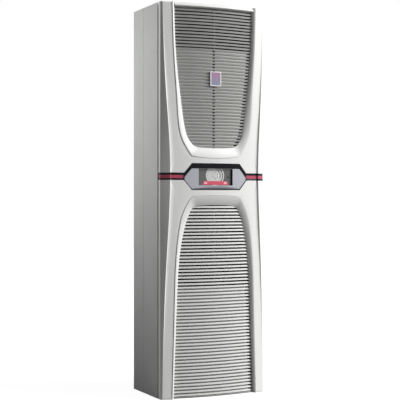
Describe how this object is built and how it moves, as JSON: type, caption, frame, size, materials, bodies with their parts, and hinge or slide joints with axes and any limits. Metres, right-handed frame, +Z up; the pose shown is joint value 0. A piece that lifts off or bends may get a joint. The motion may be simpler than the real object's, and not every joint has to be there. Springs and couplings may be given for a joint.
{
  "type": "enclosure cooling unit",
  "caption": "Tall wall-mounted cooling unit for electrical cabinets: sheet-steel casing, crowned front with bevelled louvre inserts, waist band and display.",
  "frame": {"origin": "middle of the base, at the bottom centre of the unit's box", "axes": "+Z up along the height, -Y out of the crowned front, +Y out of the mounting back, +X to the right seen from the front"},
  "size_m": [0.45, 0.308, 1.535],
  "materials": {
    "casing_paint": "fine-textured powder coat",
    "cover_white": "satin moulded",
    "grille_white": "satin moulded",
    "band_black": "gloss moulded",
    "accent_pink": "satin moulded",
    "bezel_silver": "metallic lacquer",
    "display_glass": "polished",
    "display_dark": "display face",
    "board_green": "solder mask",
    "badge_plate": "blank plate",
    "zinc_steel": "zinc-plated sheet",
    "fin_aluminium": "mill finish",
    "copper_tube": "drawn copper",
    "black_enamel": "black enamel",
    "rubber_black": "moulded",
    "fan_plastic": "moulded",
    "socket_plastic": "moulded"
  },
  "bodies": {
    "casing": {"rear_housing": "casing_paint", "front_housing": "casing_paint", "upper_front_cover": "cover_white", "lower_front_cover": "cover_white", "side_band_left": "band_black", "side_band_right": "band_black", "display_surround": "band_black", "accent_stripe_left": "accent_pink", "accent_stripe_right": "accent_pink", "display_bezel": "bezel_silver", "display_lens": "display_glass", "display_module": "display_dark", "display_board": "board_green", "inverter_board": "board_green", "front_frame": "zinc_steel", "frame_screws": "zinc_steel", "divider_panel": "zinc_steel", "fan_plate": "zinc_steel", "external_fan_bracket": "zinc_steel", "display_bracket": "zinc_steel", "condenser_end_plates": "zinc_steel", "evaporator_end_plates": "zinc_steel", "compressor_foot_plate": "zinc_steel", "compressor_foot_nuts": "zinc_steel", "base_plate": "zinc_steel", "condensate_tray": "zinc_steel", "rivet_nuts": "zinc_steel", "lifting_inserts": "zinc_steel", "expansion_valve": "zinc_steel", "condenser_fins": "fin_aluminium", "evaporator_fins": "fin_aluminium", "inverter_box": "fin_aluminium", "inverter_lid": "fin_aluminium", "inverter_heat_sink": "fin_aluminium", "external_fan_motor": "fin_aluminium", "internal_fan_motor": "fin_aluminium", "condenser_coil": "copper_tube", "evaporator_coil": "copper_tube", "discharge_pipe": "copper_tube", "liquid_pipes": "copper_tube", "filter_drier": "copper_tube", "injection_pipe": "copper_tube", "suction_pipes": "copper_tube", "compressor": "black_enamel", "accumulator": "black_enamel", "housing_gasket": "rubber_black", "pipe_grommets": "rubber_black", "compressor_feet": "rubber_black", "external_fan_inlet_ring": "fan_plastic", "internal_fan_inlet_ring": "fan_plastic", "power_socket": "socket_plastic", "signal_socket": "socket_plastic", "stud_sockets": "socket_plastic", "terminal_cover": "socket_plastic", "drain_spout": "socket_plastic"},
    "external_fan": {"external_fan_impeller": "fan_plastic"},
    "internal_fan": {"internal_fan_impeller": "fan_plastic"},
    "upper_louvre": {"upper_grille": "grille_white", "badge_plate": "badge_plate"},
    "lower_louvre": {"lower_grille": "grille_white"}
  },
  "joints": [
    {"name": "external_fan_spin", "type": "hinge", "parent": "casing", "child": "external_fan", "pos_m": [0, -0.06, 1.19], "axis": [0, 1, 0], "continuous": true},
    {"name": "internal_fan_spin", "type": "hinge", "parent": "casing", "child": "internal_fan", "pos_m": [0, 0.11, 1.315], "axis": [0, 1, 0], "continuous": true},
    {"name": "upper_louvre_pull", "type": "slide", "parent": "casing", "child": "upper_louvre", "axis": [0, -1, 0], "range_m": [0, 0.016]},
    {"name": "lower_louvre_pull", "type": "slide", "parent": "casing", "child": "lower_louvre", "axis": [0, -1, 0], "range_m": [0, 0.016]}
  ]
}
